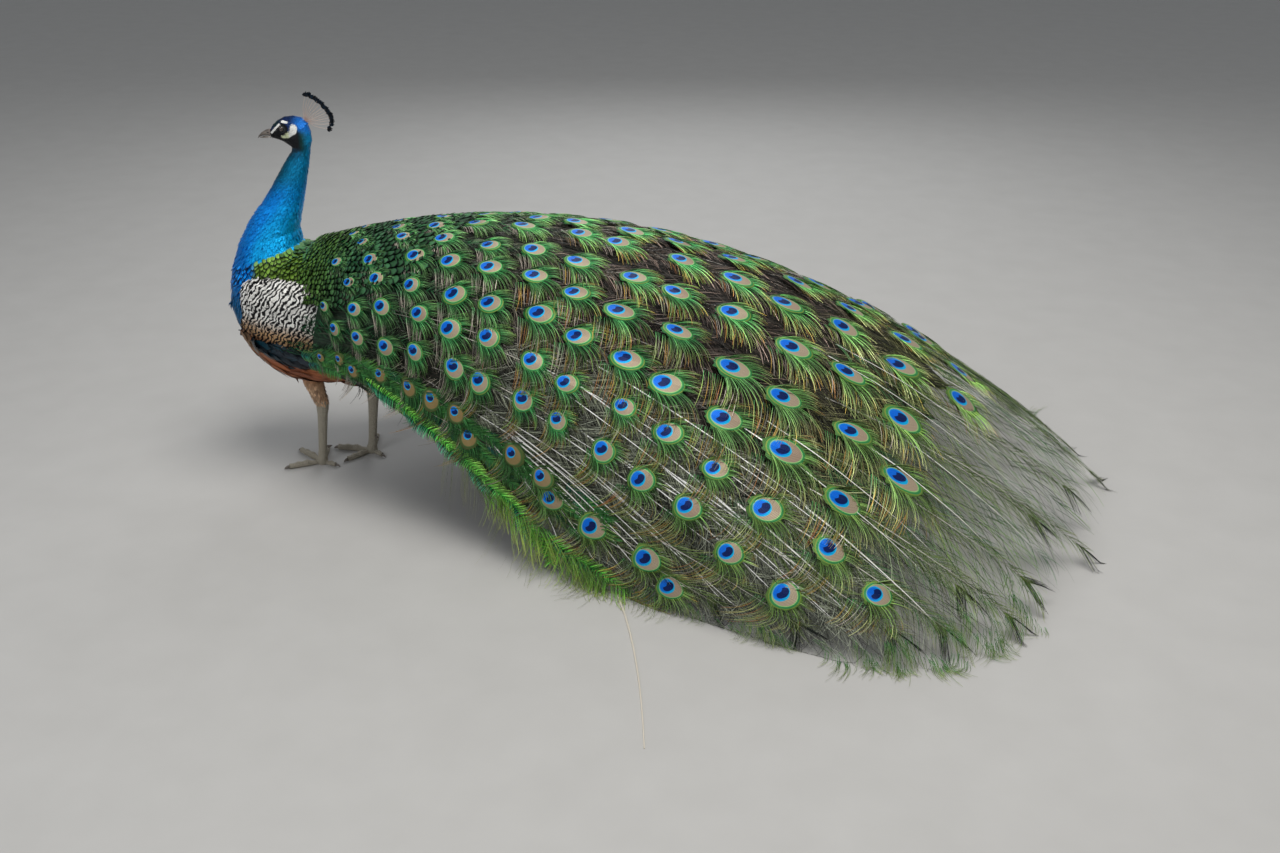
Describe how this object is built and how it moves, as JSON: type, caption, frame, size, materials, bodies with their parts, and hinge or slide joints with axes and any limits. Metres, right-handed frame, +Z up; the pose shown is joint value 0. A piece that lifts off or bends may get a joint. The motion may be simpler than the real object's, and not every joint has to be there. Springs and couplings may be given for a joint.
{
  "type": "peacock",
  "caption": "Life-size standing peacock: head up on a long blue neck, folded barred wings, and a long arched train lowered behind him to the floor.",
  "frame": {"origin": "on the floor, under the middle of the whole model as seen from above", "axes": "+X forwards to the bill, +Y to the bird's left, +Z up"},
  "size_m": [1.9682, 1.6378, 0.8484],
  "materials": {
    "crown_feathers": "short velvety feathers, metallic deep blue with black and white face markings",
    "blue_feathers": "smooth glossy iridescent blue feathers, turning teal in places",
    "body_feathers": "small scaly iridescent feathers, blue-green breast and green-gold mantle",
    "bill": "satin horn, grey-brown",
    "eye": "wet, glossy dark brown",
    "crest": "bare pale shafts with blue-black spatula tips",
    "barred_feathers": "buff-white feathers with wavy black bars",
    "dark_feathers": "glossy blue-black feathers",
    "rufous_feathers": "matt rufous flight feathers",
    "buff_feathers": "short downy buff feathers",
    "leg_scales": "satin scaly skin, grey-brown",
    "claw": "satin dark horn",
    "train_feathers": "iridescent green and bronze feathers with eye spots",
    "train_fringe": "loose green-gold barbs on pale shafts, with larger eye spots",
    "tail_feathers": "matt dark brown feathers",
    "quill": "satin ivory shaft"
  },
  "bodies": {
    "root": {"bill_lower": "bill", "bill_upper": "bill", "crest": "crest", "eye_left": "eye", "eye_right": "eye", "head": "crown_feathers", "leg_left_claw_hallux": "claw", "leg_left_claw_inner": "claw", "leg_left_claw_middle": "claw", "leg_left_claw_outer": "claw", "leg_left_shank": "leg_scales", "leg_left_spur": "claw", "leg_left_thigh": "buff_feathers", "leg_left_toe_hallux": "leg_scales", "leg_left_toe_inner": "leg_scales", "leg_left_toe_middle": "leg_scales", "leg_left_toe_outer": "leg_scales", "leg_right_claw_hallux": "claw", "leg_right_claw_inner": "claw", "leg_right_claw_middle": "claw", "leg_right_claw_outer": "claw", "leg_right_shank": "leg_scales", "leg_right_spur": "claw", "leg_right_thigh": "buff_feathers", "leg_right_toe_hallux": "leg_scales", "leg_right_toe_inner": "leg_scales", "leg_right_toe_middle": "leg_scales", "leg_right_toe_outer": "leg_scales", "neck_lower": "blue_feathers", "neck_upper": "blue_feathers", "tail": "tail_feathers", "train_left_edge_middle": "train_feathers", "train_left_edge_root": "train_feathers", "train_left_edge_tips": "train_fringe", "train_left_ridge_middle": "train_feathers", "train_left_ridge_root": "train_feathers", "train_left_ridge_tips": "train_fringe", "train_left_side_middle": "train_feathers", "train_left_side_root": "train_feathers", "train_left_side_tips": "train_fringe", "train_loose_quill": "quill", "train_right_edge_middle": "train_feathers", "train_right_edge_root": "train_feathers", "train_right_edge_tips": "train_fringe", "train_right_ridge_middle": "train_feathers", "train_right_ridge_root": "train_feathers", "train_right_ridge_tips": "train_fringe", "train_right_side_middle": "train_feathers", "train_right_side_root": "train_feathers", "train_right_side_tips": "train_fringe", "trunk": "body_feathers", "wing_left_band": "dark_feathers", "wing_left_coverts": "barred_feathers", "wing_left_primaries": "rufous_feathers", "wing_right_band": "dark_feathers", "wing_right_coverts": "barred_feathers", "wing_right_primaries": "rufous_feathers"}
  },
  "joints": []
}
